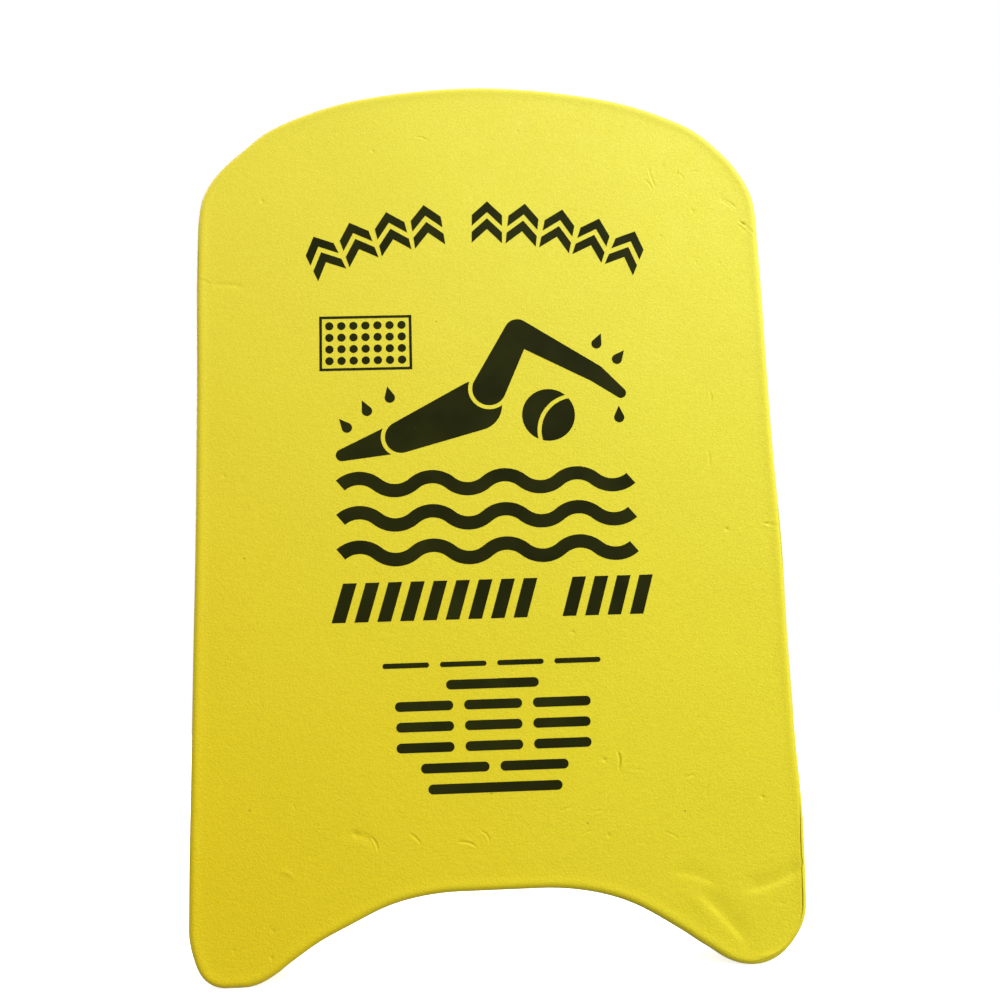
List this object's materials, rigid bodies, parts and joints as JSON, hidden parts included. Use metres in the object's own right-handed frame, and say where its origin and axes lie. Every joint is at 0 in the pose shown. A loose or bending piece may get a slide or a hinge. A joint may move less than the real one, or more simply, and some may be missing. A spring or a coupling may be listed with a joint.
{
  "type": "kickboard float",
  "caption": "Foam swimming kickboard: flat slab with an arched nose, straight sides, two rounded tail tips around a shallow notch, skinned front and back, plain printed motifs.",
  "frame": {"origin": "bottom centre of the board's box, between the two tail tips that it stands on", "axes": "+X across the board, to the right seen from the printed face; +Y from the printed face to the back; +Z from the tail tips to the nose"},
  "size_m": [0.305, 0.0321, 0.4679],
  "materials": {
    "foam_skin": "matte closed-cell foam skin, lemon yellow",
    "foam_core": "matte closed-cell foam, pale",
    "seam": "matte fused foam, dark yellow",
    "print_ink": "matte screen-print ink, near black"
  },
  "bodies": {
    "root": {"foam_core": "foam_core", "front_skin": "foam_skin", "back_skin": "foam_skin", "edge_seam": "seam", "title_print": "print_ink", "panel_print": "print_ink", "emblem_print": "print_ink", "headline_print": "print_ink", "notice_print": "print_ink"}
  },
  "joints": []
}
